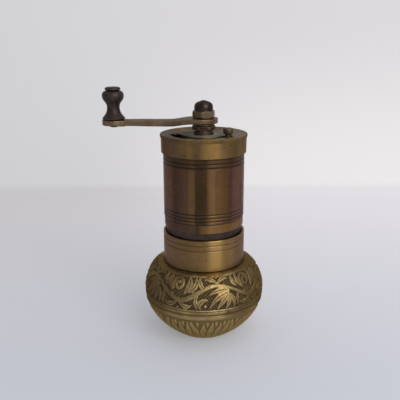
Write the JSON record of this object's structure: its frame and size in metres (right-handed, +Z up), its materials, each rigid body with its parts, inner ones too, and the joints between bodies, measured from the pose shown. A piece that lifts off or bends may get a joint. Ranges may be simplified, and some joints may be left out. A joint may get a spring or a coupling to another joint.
{
  "type": "hand grinder",
  "caption": "Hand grinder: round-bellied cup, straight barrel with a burr mill inside, slotted cap with shutter, and a flat crank with a turned knob.",
  "frame": {"origin": "middle of the cup's flat underside, on the surface that it stands on", "axes": "+Z up along the spindle; the crank arm points along -X at rest; -Y faces the viewer of the picture"},
  "size_m": [0.0794, 0.0608, 0.1259],
  "materials": {
    "aged_brass": "aged cast brass with dark recesses",
    "neck_brass": "turned, lightly tarnished",
    "brown_brass": "turned, brown patina",
    "cap_brass": "turned, dull brown patina",
    "dark_tube": "dark, worn by sliding",
    "old_bronze": "dark bronze patina",
    "black_metal": "blackened, soft sheen",
    "bare_steel": "dull",
    "burr_steel": "cut teeth, grey"
  },
  "bodies": {
    "cup": {"cup_bulb": "aged_brass", "cup_base": "aged_brass", "cup_neck": "neck_brass"},
    "mill": {"barrel": "brown_brass", "spigot_sleeve": "dark_tube", "outer_burr": "burr_steel", "lower_bridge": "old_bronze", "bridge_screw_left": "bare_steel", "bridge_screw_right": "bare_steel", "upper_bridge": "old_bronze", "bridge_bush": "old_bronze", "feed_spring": "bare_steel", "cap": "cap_brass", "cap_bush": "old_bronze", "shutter_washer": "old_bronze"},
    "shutter": {"shutter_disc": "cap_brass", "shutter_knob": "old_bronze"},
    "thrust": {"thrust_ball": "bare_steel"},
    "adjuster": {"adjusting_screw": "old_bronze"},
    "crank": {"shaft": "bare_steel", "inner_burr": "burr_steel", "lock_nut": "old_bronze", "arm_washer": "old_bronze", "crank_arm": "old_bronze", "acorn_nut": "black_metal", "knob_pin": "black_metal"},
    "knob": {"knob": "black_metal"}
  },
  "joints": [
    {"name": "mill_lift", "type": "slide", "parent": "cup", "child": "mill", "axis": [0, 0, 1], "range_m": [0, 0.045]},
    {"name": "shutter_swing", "type": "hinge", "parent": "mill", "child": "shutter", "pos_m": [0, 0, 0.102], "axis": [0, 0, 1], "range_deg": [-72, 0]},
    {"name": "burr_gap", "type": "slide", "parent": "mill", "child": "thrust", "axis": [0, 0, 1], "range_m": [-0.0003, 0.0005], "deforming": ["feed_spring"]},
    {"name": "adjuster_turn", "type": "hinge", "parent": "thrust", "child": "adjuster", "pos_m": [0, 0, 0.0289], "axis": [0, 0, 1], "range_deg": [-108, 180]},
    {"name": "crank_turn", "type": "hinge", "parent": "thrust", "child": "crank", "pos_m": [0, 0, 0.0384], "axis": [0, 0, 1], "continuous": true},
    {"name": "knob_spin", "type": "hinge", "parent": "crank", "child": "knob", "pos_m": [-0.0434, 0, 0.1106], "axis": [0, 0, 1], "continuous": true}
  ],
  "couplings": [
    {"joint": "adjuster_turn", "follows": "burr_gap", "rad_per_m": 6283.2}
  ]
}
